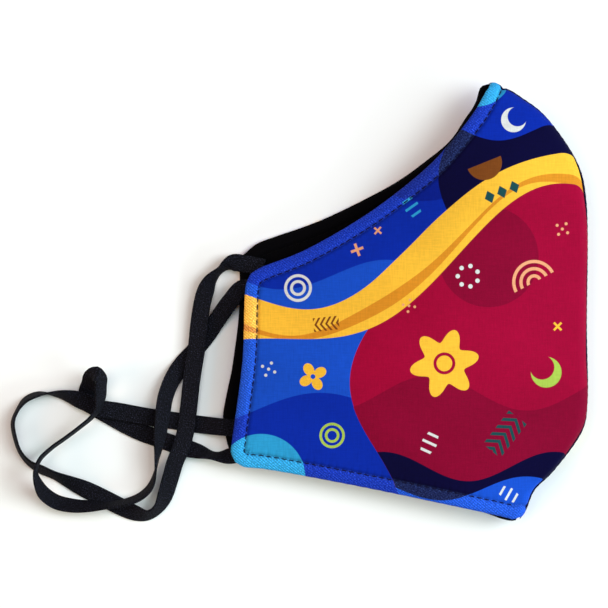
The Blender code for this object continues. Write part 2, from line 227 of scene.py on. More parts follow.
def smooth_line(points: Iterable[Sequence[float]], steps: int = 10) -> Array:
    """Draw a smooth curve through points, with even speed along their first two axes.

    Args:
        points: The points that the curve passes through.
        steps: How many places each stretch between two points gets.

    Returns:
        Close places along the curve, one a row.
    """
    given = [np.array(point, dtype=float) for point in points]
    padded = [2 * given[0] - given[1], *given, 2 * given[-1] - given[-2]]
    line = []
    for before, start, end, after in zip(padded, padded[1:], padded[2:], padded[3:]):
        knots = [0.0]
        for near, far in ((before, start), (start, end), (end, after)):
            knots.append(knots[-1] + math.sqrt(np.linalg.norm(far[:2] - near[:2])))
        for step in range(steps):
            knot = knots[1] + (knots[2] - knots[1]) * step / steps
            line.append(blend_four((before, start, end, after), knots, knot))
    line.append(given[-1])
    return np.array(line)


def blend_four(points: Sequence[Array], knots: Sequence[float], knot: float) -> Array:
    """Blend four points that lie at four knots.

    Args:
        points: The four points.
        knots: Where each point lies along the curve.
        knot: The place wanted, between the two middle knots.

    Returns:
        The curve's place at knot.
    """
    level = list(points)
    for first, width in ((0, 1), (0, 2), (1, 1)):
        merged = []
        for index in range(len(level) - 1):
            start, end = knots[first + index], knots[first + index + width]
            share = (knot - start) / (end - start)
            merged.append(level[index] * (1 - share) + level[index + 1] * share)
        level = merged
    return level[0]


def at_shares(line: Array, shares: Array) -> Array:
    """Find the places at shares of a line's length, measured on its first two axes.

    Args:
        line: Close places along the line, one a row.
        shares: Shares of the way, from 0 to 1.

    Returns:
        One place a row for each share.
    """
    travelled = distances_along(line[:, :2])
    return read_along(line, travelled, shares * travelled[-1])


def distances_along(line: Array) -> Array:
    """Return how far along a line each of its places lies, from 0 at the first."""
    lengths = np.linalg.norm(np.diff(line, axis=0), axis=1)
    return np.concatenate(([0.0], np.cumsum(lengths)))


def read_along(line: Array, travelled: Array, wanted: Array) -> Array:
    """Return the places of a line at wanted distances, where travelled holds its own."""
    return np.stack([np.interp(wanted, travelled, column) for column in line.T], axis=-1)


def nearest_finder(chain: Array) -> kdtree.KDTree:
    """Make a finder of the nearest of many points.

    Args:
        chain: The points seen from above, one a row.

    Returns:
        The finder, which numbers the points as the rows are.
    """
    tree = kdtree.KDTree(len(chain))
    for index, (x, y) in enumerate(chain.tolist()):
        tree.insert((x, y, 0.0), index)
    tree.balance()
    return tree


def smooth_values(values: Array, shares: Array) -> Array:
    """Read evenly spaced values, joined smoothly, at shares of the way along them.

    Args:
        values: The values, one a row; the columns match the shares if there are several.
        shares: Shares of the way, from 0 to 1.

    Returns:
        One value for each share.
    """
    columns = np.arange(len(shares))
    table = np.broadcast_to(values.reshape(len(values), -1), (len(values), len(shares)))
    table = np.concatenate((2 * table[:1] - table[1:2], table, 2 * table[-1:] - table[-2:-1]))
    place = np.clip(shares, 0.0, 1.0) * (len(values) - 1)
    start = np.minimum(place.astype(int), len(values) - 2)
    step = place - start
    before, low, high, after = (table[start + offset, columns] for offset in range(4))
    rise, leave = (high - before) / 2, (after - low) / 2
    square, cube = step**2, step**3
    return (
        (2 * cube - 3 * square + 1) * low
        + (cube - 2 * square + step) * rise
        + (3 * square - 2 * cube) * high
        + (cube - square) * leave
    )


def unit(vectors: Array) -> Array:
    """Return vectors, one a row of the last axis, at a length of one."""
    return vectors / np.maximum(np.linalg.norm(vectors, axis=-1, keepdims=True), 1e-12)


def ease(low: float, high: float, values: Array) -> Array:
    """Return a smooth step from 0 at low to 1 at high."""
    share = np.clip((values - low) / (high - low), 0.0, 1.0)
    return share * share * (3 - 2 * share)


def add_piece(
    name: str, points: Array, faces: Array | list, marks: dict[str, Array]
) -> bpy.types.Object:
    """Make a smooth-shaded mesh object with vectors stored on its points.

    Args:
        name: The piece's name.
        points: Its points, one a row, in metres.
        faces: Its faces, as rows of point numbers.
        marks: Named vectors for the materials, one a row for each point.

    Returns:
        The new object, linked to the scene.
    """
    mesh = bpy.data.meshes.new(name)
    rows = faces.tolist() if isinstance(faces, np.ndarray) else faces
    mesh.from_pydata(points.tolist(), [], rows)
    mesh.update()
    mesh.shade_smooth()
    for mark, vectors in marks.items():
        attribute = mesh.attributes.new(mark, "FLOAT_VECTOR", "POINT")
        numbers = np.ascontiguousarray(vectors, dtype=np.float32).ravel()
        attribute.data.foreach_set("vector", numbers)
    piece = bpy.data.objects.new(name, mesh)
    bpy.context.collection.objects.link(piece)
    return piece


def tube_faces(sections: int, sides: int) -> list[tuple[int, ...]]:
    """Join rings of points into a closed tube.

    Args:
        sections: How many rings there are, one after another.
        sides: How many points each ring has.

    Returns:
        The faces of the wall and of the two ends.
    """
    faces: list[tuple[int, ...]] = []
    for section in range(sections - 1):
        near, far = section * sides, (section + 1) * sides
        for side in range(sides):
            after = (side + 1) % sides
            faces.append((near + side, near + after, far + after, far + side))
    faces.append(tuple(range(sides - 1, -1, -1)))
    faces.append(tuple(range((sections - 1) * sides, sections * sides)))
    return faces


class Ink(Enum):
    """Colours of the mask's cloths and threads, as screen values under even light of strength 1."""

    ROYAL = (5, 40, 162)
    ROYAL_DEEP = (4, 28, 136)
    ROYAL_LIGHT = (21, 75, 194)
    SKY = (43, 154, 209)
    AMBER = (240, 183, 55)
    ORANGE = (211, 135, 34)
    CRIMSON = (154, 2, 49)
    MAROON = (131, 2, 44)
    NAVY = (4, 2, 47)
    BROWN = (120, 65, 24)
    TEAL = (25, 71, 75)
    LIME = (165, 191, 76)
    PEACH = (229, 158, 116)
    # Pale blue of the painted highlight on the hem's flecks.
    WHITE = (213, 214, 214)
    PAINTED_GLINT_BLUE = (108, 142, 229)
    LINING = (4, 3, 5)
    ELASTIC = (9, 9, 15)
    THREAD = (15, 12, 47)
    DARK_THREAD = (4, 3, 4)
    FLOOR = (250, 250, 250)

    @property
    def linear(self) -> tuple[float, float, float, float]:
        """The colour as linear light, for a shader.

        Returns:
            Its red, green and blue, and an opacity of 1.
        """
        shares = [value / 255 for value in self.value]
        light = [s / 12.92 if s <= 0.04045 else ((s + 0.055) / 1.055) ** 2.4 for s in shares]
        return (light[0], light[1], light[2], 1.0)


class Draft:
    """A material's node tree, drawn up one node at a time."""

    def __init__(self, name: str) -> None:
        """Start a material whose only node is its shader.

        Args:
            name: The material's name.
        """
        self.material = bpy.data.materials.new(name)
        self.material.use_nodes = True
        self.tree = self.material.node_tree
        self.shader = self.tree.nodes["Principled BSDF"]

    def feed(self, socket: bpy.types.NodeSocket, value: object) -> None:
        """Give a socket a varying value or a fixed one.

        Args:
            socket: The socket.
            value: A mark, or a plain number, vector or colour.
        """
        if isinstance(value, Mark):
            self.tree.links.new(value.socket, socket)
        else:
            socket.default_value = value

    def mark(self, name: str) -> "Mark":
        """Read a vector that the mesh stores on its points.

        Args:
            name: The name that it is stored under.

        Returns:
            The vector.
        """
        node = self.tree.nodes.new("ShaderNodeAttribute")
        node.attribute_name = name
        return Mark(self, node.outputs["Vector"])

    def parts(self, vector: "Mark") -> tuple["Mark", "Mark", "Mark"]:
        """Split a vector into its three numbers.

        Args:
            vector: The vector.

        Returns:
            Its x, y and z.
        """
        node = self.tree.nodes.new("ShaderNodeSeparateXYZ")
        self.feed(node.inputs[0], vector)
        x, y, z = (Mark(self, output) for output in node.outputs)
        return x, y, z

    def joined(self, *numbers: "Mark | float") -> "Mark":
        """Join three numbers into a vector.

        Args:
            numbers: Its x, y and z.

        Returns:
            The vector.
        """
        node = self.tree.nodes.new("ShaderNodeCombineXYZ")
        for socket, number in zip(node.inputs, numbers):
            self.feed(socket, number)
        return Mark(self, node.outputs[0])

    def math(self, operation: str, *values: "Mark | float", clamp: bool = False) -> "Mark":
        """Work out a number.

        Args:
            operation: The name of the sum.
            values: What goes into it.
            clamp: Whether the result is kept between 0 and 1.

        Returns:
            The result.
        """
        node = self.tree.nodes.new("ShaderNodeMath")
        node.operation = operation
        node.use_clamp = clamp
        for socket, value in zip(node.inputs, values):
            self.feed(socket, value)
        return Mark(self, node.outputs[0])

    def vector_math(self, operation: str, *values: object, output: int = 0) -> "Mark":
        """Work out a vector, or a number from vectors.

        Args:
            operation: The name of the sum.
            values: What goes into it.
            output: 0 for a vector and 1 for a number.

        Returns:
            The result.
        """
        node = self.tree.nodes.new("ShaderNodeVectorMath")
        node.operation = operation
        for socket, value in zip(node.inputs, values):
            self.feed(socket, value)
        return Mark(self, node.outputs[output])

    def local(self, place: "Mark", x: float, y: float, turn: float, size: float) -> "Mark":
        """Measure places from a motif's middle, along its own axes, in its own size.

        Args:
            place: Places on the cloth, in millimetres.
            x: The motif's middle.
            y: The motif's middle.
            turn: Its turn in degrees.
            size: Its half width.

        Returns:
            The places as the motif has them.
        """
        node = self.tree.nodes.new("ShaderNodeMapping")
        node.vector_type = "TEXTURE"
        self.feed(node.inputs["Vector"], place)
        node.inputs["Location"].default_value = (x, y, 0.0)
        node.inputs["Rotation"].default_value = (0.0, 0.0, math.radians(turn))
        node.inputs["Scale"].default_value = (size, size, size)
        return Mark(self, node.outputs[0])

    def noise(self, place: "Mark", stretch: tuple[float, float], detail: float) -> "Mark":
        """Make soft noise between 0 and 1.

        Args:
            place: Where on the cloth, in millimetres.
            stretch: How many waves a millimetre holds in each direction.
            detail: How much finer noise lies over it.

        Returns:
            The noise.
        """
        scaled = self.vector_math("MULTIPLY", place, (*stretch, 1.0))
        node = self.tree.nodes.new("ShaderNodeTexNoise")
        node.noise_dimensions = "2D"
        self.feed(node.inputs["Vector"], scaled)
        node.inputs["Scale"].default_value = 1.0
        node.inputs["Detail"].default_value = detail
        return Mark(self, node.outputs[0])

    def lay(self, under: "Mark | tuple", over: "Mark | tuple", share: "Mark") -> "Mark":
        """Lay one colour over another.

        Args:
            under: The lower colour.
            over: The upper colour.
            share: How much of the lower one it covers.

        Returns:
            The colour that shows.
        """
        node = self.tree.nodes.new("ShaderNodeMix")
        node.data_type = "RGBA"
        self.feed(node.inputs["Factor"], share)
        self.feed(node.inputs[6], under)
        self.feed(node.inputs[7], over)
        return Mark(self, node.outputs[2])

    def dimmed(self, colour: "Mark | tuple", light: "Mark") -> "Mark":
        """Scale a colour by the light that it gives back."""
        unused = (0.0, 0.0, 0.0)
        return self.vector_math("SCALE", colour, unused, unused, light)

    def raise_by(self, height: "Mark") -> None:
        """Let the surface look raised.

        Args:
            height: How far, in millimetres.
        """
        node = self.tree.nodes.new("ShaderNodeBump")
        node.inputs["Strength"].default_value = 1.0
        node.inputs["Distance"].default_value = MM
        self.feed(node.inputs["Height"], height)
        self.tree.links.new(node.outputs[0], self.shader.inputs["Normal"])

    def finish(
        self, colour: "Mark | tuple", roughness: float, specular: float
    ) -> bpy.types.Material:
        """Give the shader its colour and gloss.

        Args:
            colour: The base colour.
            roughness: How matt the cloth is.
            specular: How strongly it reflects.

        Returns:
            The finished material.
        """
        self.feed(self.shader.inputs["Base Color"], colour)
        self.shader.inputs["Roughness"].default_value = roughness
        self.shader.inputs["Specular IOR Level"].default_value = specular
        return self.material


@dataclass(frozen=True)
class Mark:
    """A value in a material that varies over the cloth.

    Attributes:
        draft: The node tree that it belongs to.
        socket: The output that gives it.
    """

    draft: Draft
    socket: bpy.types.NodeSocket

    def __add__(self, other: "Mark | float") -> "Mark":
        """Add."""
        return self.draft.math("ADD", self, other)

    def __sub__(self, other: "Mark | float") -> "Mark":
        """Subtract."""
        return self.draft.math("SUBTRACT", self, other)

    def __rsub__(self, other: float) -> "Mark":
        """Subtract from a fixed number."""
        return self.draft.math("SUBTRACT", other, self)

    def __mul__(self, other: "Mark | float") -> "Mark":
        """Multiply."""
        return self.draft.math("MULTIPLY", self, other)

    def __abs__(self) -> "Mark":
        """Drop the sign."""
        return self.draft.math("ABSOLUTE", self)

    def wave(self, length: float, start: float = 0.0) -> "Mark":
        """Swing between -1 and 1 over a length."""
        turned = self.draft.math("MULTIPLY_ADD", self, 2 * math.pi / length, start)
        return self.draft.math("SINE", turned)

    def over(self, other: "Mark | float") -> "Mark":
        """Take the larger value: what two shapes share."""
        return self.draft.math("MAXIMUM", self, other)

    def under(self, other: "Mark | float") -> "Mark":
        """Take the smaller value: two shapes together."""
        return self.draft.math("MINIMUM", self, other)

    def bell(self, width: float) -> "Mark":
        """Peak at 1 where the value is 0 and fall off over a width."""
        scaled = self * (1 / width)
        return self.draft.math("EXPONENT", scaled * scaled * -1.0)


class MotifKind(Enum):
    """Kinds of small printed motif."""

    RINGS = "rings"
    FLOWER = "flower"
    BLOSSOM = "blossom"
    CROSS = "cross"
    CRESCENT = "crescent"
    DIAMONDS = "diamonds"
    DOT_RING = "dot ring"
    SEEDS = "seeds"
    FAN = "fan"
    DASHES = "dashes"
    CHEVRONS = "chevrons"
    BOWL = "bowl"


@dataclass(frozen=True)
class Motif:
    """A small printed motif.

    Attributes:
        kind: What it shows.
        x: Its middle, in millimetres to the seam's side of the cloth's middle.
        y: Its middle, in millimetres above the cloth's middle.
        size: Its half width in millimetres.
        turn: Its turn in degrees.
        ink: Its colour.
    """

    kind: MotifKind
    x: float
    y: float
    size: float
    turn: float
    ink: Ink


MOTIFS = (
    Motif(MotifKind.RINGS, -36.5, 4.5, 4.8, 0, Ink.WHITE),
    Motif(MotifKind.CROSS, -16.5, 17.5, 2.2, 20, Ink.PEACH),
    Motif(MotifKind.CROSS, -9.5, 24.0, 1.6, 50, Ink.PEACH),
    Motif(MotifKind.DASHES, 2.0, 32.0, 4.6, 35, Ink.SKY),
    Motif(MotifKind.CHEVRONS, -27.0, -7.6, 4.6, 96, Ink.BROWN),
    Motif(MotifKind.BLOSSOM, -31.5, -25.5, 5.2, 30, Ink.AMBER),
    Motif(MotifKind.SEEDS, -46.5, -23.0, 2.3, 20, Ink.WHITE),
    Motif(MotifKind.BOWL, 26.5, 47.0, 6.0, 22, Ink.BROWN),
    Motif(MotifKind.DIAMONDS, 32.5, 37.0, 6.6, 22, Ink.TEAL),
    Motif(MotifKind.FLOWER, 13.0, -21.0, 11.8, 12, Ink.AMBER),
    Motif(MotifKind.FAN, 43.5, 6.5, 7.6, 28, Ink.PEACH),
    Motif(MotifKind.CRESCENT, 47.5, -24.0, 5.2, 130, Ink.LIME),
    Motif(MotifKind.DOT_RING, 21.0, 8.5, 4.4, 0, Ink.WHITE),
    Motif(MotifKind.CHEVRONS, 33.5, -45.0, 7.6, -38, Ink.TEAL),
    Motif(MotifKind.DASHES, 8.0, -48.0, 4.8, -25, Ink.WHITE),
    Motif(MotifKind.RINGS, -25.0, -45.5, 4.4, 0, Ink.LIME),
    Motif(MotifKind.CRESCENT, 36.5, 61.5, 4.2, 40, Ink.WHITE),
    Motif(MotifKind.SEEDS, 53.0, 24.5, 2.2, 10, Ink.PEACH),
    Motif(MotifKind.CROSS, 51.5, -8.5, 1.8, 45, Ink.AMBER),
    Motif(MotifKind.SEEDS, 1.0, -1.5, 2.0, 35, Ink.PEACH),
    Motif(MotifKind.DASHES, 35.0, -65.5, 4.2, 60, Ink.WHITE),
)


@dataclass(frozen=True)
class ThreadWeave:
    """A plain weave, seen as fine threads both ways.

    Attributes:
        pitch: From one thread to the next, in millimetres.
        height: How far a thread stands up, in millimetres.
        slub: How much uneven threads lighten and darken the cloth.
    """

    pitch: float
    height: float
    slub: float

    def relief(self, x: Mark, y: Mark) -> Mark:
        """Return the height of the threads."""
        both = x.wave(2 * self.pitch) * y.wave(2 * self.pitch)
        return abs(both) * self.height

    def tint(self, draft: Draft, place: Mark) -> Mark:
        """Let uneven threads lighten and darken the cloth.

        Args:
            draft: The material's tree.
            place: Places on the cloth, in millimetres.

        Returns:
            The share of light that they give back.
        """
        slow, fast = 0.22, 2.3
        level = draft.noise(place, (slow, fast), 1.0)
        upright = draft.noise(place, (fast, slow), 1.0)
        return (level + upright) * self.slub + (1.0 - self.slub)


@dataclass(frozen=True)
class PrintedCloth:
    """Cotton with a colourful print: wavy fields of flat colour and small motifs.

    Attributes:
        weave: The cloth's threads.
        edge: How soft the edge of a printed shape is, in millimetres.
        hem: How wide the hem is, in millimetres.
        pitch: From one topstitch to the next, in millimetres.
    """

    weave: ThreadWeave = ThreadWeave(pitch=0.42, height=0.04, slub=0.20)
    edge: float = 0.16
    hem: float = 4.7
    pitch: float = 2.6

    def cover(self, draft: Draft, distance: Mark, size: float = 1.0) -> Mark:
        """Turn a distance from a shape, in its own size, into the share that it covers."""
        return draft.math("MULTIPLY_ADD", distance, -size / self.edge, 0.5, clamp=True)

    def fields(self, draft: Draft, x: Mark, y: Mark) -> Mark:
        """Lay out the wavy fields.

        Args:
            draft: The material's tree.
            x: Millimetres towards the seam.
            y: Millimetres up.

        Returns:
            The fields' colour.
        """
        ribbon = x * 0.42 + x.wave(119.0, -0.6) * 11.0 + 14.0
        half_width = x.wave(82.0, 1.0) * 2.5 + 7.5
        above = y - ribbon
        night = (y.wave(61.0, 0.4) * 5.0 + 16.0 - x).over(above * -1.0)
        field = draft.math("SMOOTH_MAX", above, y.wave(92.0, 0.3) * 9.0 - x - 10.0, 14.0)
        stripe = abs(above + x.wave(54.0, 0.2) * 1.6 + 3.4) - x.wave(75.0, 2.0) * 0.8 - 1.5
        inside = field - self.edge
        shapes = (
            (Ink.ROYAL_LIGHT, y - x.wave(70.0, 2.2) * 5.0 - 9.0),
            (Ink.ROYAL, y + x.wave(88.0, 0.5) * 6.0 + 37.0),
            (Ink.SKY, self.round_from(draft, x, y, (-49.0, -60.0), 15.0)),
            (Ink.ROYAL_DEEP, self.round_from(draft, x, y, (6.0, 62.0), 28.0)),
            (Ink.NAVY, night),
            (Ink.ROYAL, (x.wave(48.0, 0.6) * 3.5 + 58.0 - y).over(night - self.edge)),
            (Ink.SKY, self.round_from(draft, x, y, (24.0, 78.0), 12.0)),
            (Ink.CRIMSON, field),
            (Ink.MAROON, (y - x.wave(66.0, 0.8) * 6.0 + 31.0).over(inside)),
            (Ink.MAROON, self.round_from(draft, x, y, (28.0, 15.0), 17.0).over(inside)),
            (Ink.NAVY, (y - x.wave(58.0, 2.4) * 5.0 + 56.0).over(inside)),
            (Ink.ROYAL_LIGHT, (y - x.wave(58.0, 3.4) * 4.0 + 63.5).over(inside)),
            (Ink.AMBER, abs(above) - half_width),
            (Ink.ORANGE, stripe.over(abs(above) - half_width)),
        )
        colour: Mark | tuple[float, float, float, float] = Ink.ROYAL.linear
        for ink, distance in shapes:
            colour = draft.lay(colour, ink.linear, self.cover(draft, distance))
        return colour

    def round_from(
        self, draft: Draft, x: Mark, y: Mark, middle: tuple[float, float], radius: float
    ) -> Mark:
        """Measure how far places lie outside a circle.

        Args:
            draft: The material's tree.
            x: Millimetres towards the seam.
            y: Millimetres up.
            middle: The circle's middle.
            radius: The circle's radius.

        Returns:
            The distance, below 0 inside it.
        """
        place = draft.joined(x, y, 0.0)
        return draft.vector_math("DISTANCE", place, (*middle, 0.0), output=1) - radius

    def motif_distance(self, draft: Draft, motif: Motif, place: Mark) -> Mark:
        """Measure how far places lie outside a motif.

        Args:
            draft: The material's tree.
            motif: The motif.
            place: Places on the cloth, in millimetres.

        Returns:
            The distance as a share of the motif's size, below 0 inside it.
        """
        local = draft.local(place, motif.x, motif.y, motif.turn, motif.size)
        u, v, _ = draft.parts(local)
        reach = draft.vector_math("LENGTH", local, output=1)
        match motif.kind:
            case MotifKind.RINGS:
                return abs(reach - 0.88).under(abs(reach - 0.46)) - 0.1
            case MotifKind.FLOWER:
                petals = draft.math("ARCTAN2", v, u) * 6.0
                rim = draft.math("COSINE", petals) * 0.2 + 0.8
                eye = abs(reach - 0.27) - 0.045
                return (reach - rim).over(eye * -1.0)
            case MotifKind.BLOSSOM:
                petals = draft.math("ARCTAN2", v, u) * 2.0
                rim = abs(draft.math("COSINE", petals)) * 0.6 + 0.36
                return (reach - rim).over(0.16 - reach)
            case MotifKind.CROSS:
                return (abs(u).under(abs(v)) - 0.2).over(abs(u).over(abs(v)) - 1.0)
            case MotifKind.CRESCENT:
                bite = draft.vector_math("DISTANCE", local, (0.42, 0.0, 0.0), output=1)
                return (reach - 1.0).over(0.8 - bite)
            case MotifKind.DIAMONDS:
                step = draft.math("WRAP", u, -0.34, 0.34)
                return (abs(step) + abs(v) * 0.8 - 0.27).over(abs(u) - 1.0)
            case MotifKind.DOT_RING:
                dots = 7
                turn = draft.math("ARCTAN2", v, u) + math.pi
                folded = draft.math("PINGPONG", turn, math.pi / dots)
                apart = reach * reach - draft.math("COSINE", folded) * reach * 1.6 + 0.64
                return draft.math("SQRT", apart.over(0.0)) - 0.17
            case MotifKind.SEEDS:
                folded = draft.joined(abs(u), abs(v), 0.0)
                corner = draft.vector_math("DISTANCE", folded, (0.7, 0.7, 0.0), output=1)
                return corner.under(reach) - 0.23
            case MotifKind.FAN:
                arcs = abs(reach - 0.92).under(abs(reach - 0.6)).under(abs(reach - 0.28)) - 0.07
                return arcs.over(v * -1.0)
            case MotifKind.DASHES:
                step = draft.math("WRAP", v, -0.3, 0.3)
                return (abs(step) - 0.09).over(abs(u) - 0.55 - abs(v) * -0.25).over(abs(v) - 0.9)
            case MotifKind.CHEVRONS:
                step = draft.math("WRAP", v + abs(u) * 0.7, -0.2, 0.2)
                return (abs(step) - 0.085).over(abs(u) - 0.5).over(abs(v) - 0.95)
            case MotifKind.BOWL:
                return (reach - 1.0).over(v)

    def material(self) -> bpy.types.Material:
        """Draw up the printed cloth.

        Returns:
            The material.
        """
        draft = Draft("printed_cotton")
        place = draft.mark("cloth_place")
        x, y, _ = draft.parts(place)
        colour = self.fields(draft, x, y)
        for motif in MOTIFS:
            distance = self.motif_distance(draft, motif, place)
            colour = draft.lay(colour, motif.ink.linear, self.cover(draft, distance, motif.size))
        along, inward, _ = draft.parts(draft.mark("hem_place"))
        body = draft.math("MULTIPLY_ADD", inward, 2.0, -2.0 * self.hem, clamp=True)
        slant = x + y * 1.2
        twill = slant.wave(1.15)
        flecks = draft.noise(draft.joined(slant, x - y, 0.0), (1.5, 1.5), 1.0)
        # Painted highlight: the hem is drawn lighter than the cloth beyond it, most of all in its
        # flecks, whose lightness rises and falls with the twill lines.
        hem_painted_highlight = draft.math("POWER", flecks, 2.0) * (twill * 1.2 + 1.7) + 0.76
        # Slow random lightening and darkening over the whole cloth.
        slow_tone = draft.noise(place, (0.03, 0.04), 1.0) * 0.24 + 0.88
        light = self.weave.tint(draft, place) * slow_tone
        light = light * (hem_painted_highlight + body * (1.0 - hem_painted_highlight))
        groove = (inward - self.hem).bell(0.55)
        # Painted shade: the cloth is darkened along the groove that the stitches pull in.
        light = light * (1.0 - groove * 0.25)
        colour = draft.dimmed(colour, light)
        # Painted highlight: the hem's brightest flecks are overlaid with a pale blue.
        hem_painted_glints = (draft.math("POWER", flecks, 3.0) * 0.34 + 0.01) * (1.0 - body)
        colour = draft.lay(colour, Ink.PAINTED_GLINT_BLUE.linear, hem_painted_glints)
        threads = self.weave.relief(x, y) * body + twill * (1.0 - body) * 0.03
        pull = abs(along.wave(2 * self.pitch)) * (inward - self.hem).bell(1.9) * 0.16
        draft.raise_by(threads + pull - groove * 0.12)
        return draft.finish(colour, roughness=0.87, specular=0.08)


@dataclass(frozen=True)
class LiningCloth:
    """Near-black cotton.

    Attributes:
        weave: The cloth's threads.
        hem: How wide the hem is, in millimetres.
        pitch: From one topstitch to the next, in millimetres.
    """

    weave: ThreadWeave = ThreadWeave(pitch=0.38, height=0.04, slub=0.35)
    hem: float = 4.7
    pitch: float = 2.6

    def material(self) -> bpy.types.Material:
        """Draw up the lining.

        Returns:
            The material.
        """
        draft = Draft("black_lining_cotton")
        place = draft.mark("cloth_place")
        x, y, _ = draft.parts(place)
        along, inward, _ = draft.parts(draft.mark("hem_place"))
        light = self.weave.tint(draft, place)
        colour = draft.dimmed(Ink.LINING.linear[:3], light)
        pull = along.wave(self.pitch) * (inward - self.hem).bell(1.6) * 0.06
        draft.raise_by(self.weave.relief(x, y) + pull)
        return draft.finish(colour, roughness=0.9, specular=0.05)


@dataclass(frozen=True)
class WovenElastic:
    """Flat black elastic with fine ribs along it.

    Attributes:
        rib: From one rib to the next, in millimetres.
        rib_height: How far a rib stands up, in millimetres.
        pick: From one crossing thread to the next, in millimetres.
    """

    rib: float = 0.62
    rib_height: float = 0.06
    pick: float = 0.7

    def material(self) -> bpy.types.Material:
        """Draw up the elastic.

        Returns:
            The material.
        """
        draft = Draft("black_elastic")
        place = draft.mark("band_place")
        along, across, _ = draft.parts(place)
        rib = across.wave(self.rib)
        pick = along.wave(self.pick) * across.wave(2 * self.rib)
        speckle = draft.noise(place, (2.4, 3.0), 1.5)
        # The rib term is painted light and shade: the colour rises and falls across each rib with
        # its relief.
        light = draft.math("POWER", speckle, 6.0) * 75.0 + rib * 0.15 + 0.1
        colour = draft.dimmed(Ink.ELASTIC.linear[:3], light)
        draft.raise_by(rib * self.rib_height + pick * 0.03)
        return draft.finish(colour, roughness=0.75, specular=0.09)


@dataclass(frozen=True)
class SewingThread:
    """Spun polyester sewing thread.

    Attributes:
        name: The material's name.
        ink: Its colour.
    """

    name: str
    ink: Ink

    def material(self) -> bpy.types.Material:
        """Draw up the thread, with painted light and shade along the ply's twist.

        Returns:
            The material.
        """
        draft = Draft(self.name)
        along, around, _ = draft.parts(draft.mark("thread_place"))
        twist = (along + around * 0.12).wave(0.45)
        # Painted light and shade: the colour rises and falls along the ply's twist, with its
        # relief.
        light = twist * 0.2 + 1.0
        colour = draft.dimmed(self.ink.linear[:3], light)
        draft.raise_by(twist * 0.04)
        return draft.finish(colour, roughness=0.7, specular=0.08)


@dataclass(frozen=True)
class PaleFloor:
    """A plain white studio floor."""

    ink: Ink = Ink.FLOOR

    def material(self) -> bpy.types.Material:
        """Draw up the floor."""
        draft = Draft("pale_floor")
        return draft.finish(self.ink.linear, roughness=0.9, specular=0.0)


@dataclass
class OverheadCamera:
    """A camera straight above the mask, far enough off to show hardly any perspective.

    Attributes:
        x: The middle of its view.
        y: The middle of its view.
        height: How high it stands.
        level: The height at which its view has the width that view_width gives.
        view_width: How wide a strip it shows there.
    """

    x: float = -34.5 * MM
    y: float = -0.9 * MM
    height: float = 3000.0 * MM
    level: float = 10.0 * MM
    view_width: float = 206.7 * MM

    def build(self) -> bpy.types.Object:
        """Add the camera and make it the scene's own.

        Returns:
            The camera.
        """
        data = bpy.data.cameras.new("overhead_camera")
        data.sensor_width = 36.0
        data.lens = data.sensor_width * (self.height - self.level) / self.view_width
        camera = bpy.data.objects.new("overhead_camera", data)
        camera.location = (self.x, self.y, self.height)
        bpy.context.collection.objects.link(camera)
        bpy.context.scene.camera = camera
        return camera


@dataclass
class EarLoop:
    """A flat elastic sewn to the two corners of a half's side edge.

    Attributes:
        name: The piece's name.
        node: The frame's solid that it stands for.
        route: The places that its middle line passes.
        width: The elastic's width.
        thickness: The elastic's thickness.
        clear: How far its lowest edge stays off the surface.
        step: From one cross section to the next.
        sides: How many points a cross section has.
    """

    name: str
    node: str
    route: tuple[Bend, ...]
    width: float = 6.0 * MM
    thickness: float = 0.9 * MM
    clear: float = 0.1 * MM
    step: float = 0.7 * MM
    sides: int = 16

    def middles(self) -> tuple[Array, Array]:
        """Lay out the elastic's middle line.

        Returns:
            Its points in metres and its roll at each, in radians.
        """
        line = smooth_line(self.route)
        length = np.linalg.norm(np.diff(line[:, :2], axis=0), axis=1).sum() * MM
        places = at_shares(line, np.linspace(0.0, 1.0, math.ceil(length / self.step) + 1))
        rolls = np.radians(places[:, 3])
        rise = self.width / 2 * np.abs(np.sin(rolls)) + self.thickness / 2 * np.abs(np.cos(rolls))
        rise += self.clear + np.maximum(places[:, 2], 0.0) * MM
        return np.column_stack((places[:, :2] * MM, rise)), rolls

    def cross_section(self) -> Array:
        """Draw the elastic's rounded oblong section.

        Returns:
            Shares of the half width and of the half thickness, one point a row.
        """
        turns = np.linspace(0.0, 2 * math.pi, self.sides, endpoint=False) + math.pi / self.sides
        across = np.sign(np.cos(turns)) * np.abs(np.cos(turns)) ** 0.55
        up = np.sign(np.sin(turns)) * np.abs(np.sin(turns)) ** 0.4
        return np.column_stack((across, up))

    def build(self, material: bpy.types.Material) -> bpy.types.Object:
        """Args:
            material: Its finish.

        Returns:
            The elastic.
        """
        middles, rolls = self.middles()
        ahead = unit(np.gradient(middles, axis=0))
        level = unit(np.cross(ahead, (0.0, 0.0, 1.0)))
        upright = np.cross(level, ahead)
        across = level * np.cos(rolls)[:, None] + upright * np.sin(rolls)[:, None]
        face = np.cross(across, ahead)
        oblong = self.cross_section()
        rings = (
            middles[:, None]
            + across[:, None] * oblong[None, :, :1] * self.width / 2
            + face[:, None] * oblong[None, :, 1:] * self.thickness / 2
        )
        travelled = distances_along(middles)
        place = np.zeros_like(rings)
        place[..., 0] = travelled[:, None] / MM
        place[..., 1] = oblong[None, :, 0] * self.width / 2 / MM
        piece = add_piece(
            self.name,
            rings.reshape(-1, 3),
            tube_faces(len(middles), self.sides),
            {"band_place": place.reshape(-1, 3)},
        )
        piece.data.materials.append(material)
        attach(piece, BODY)
        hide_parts(self.node)
        return piece


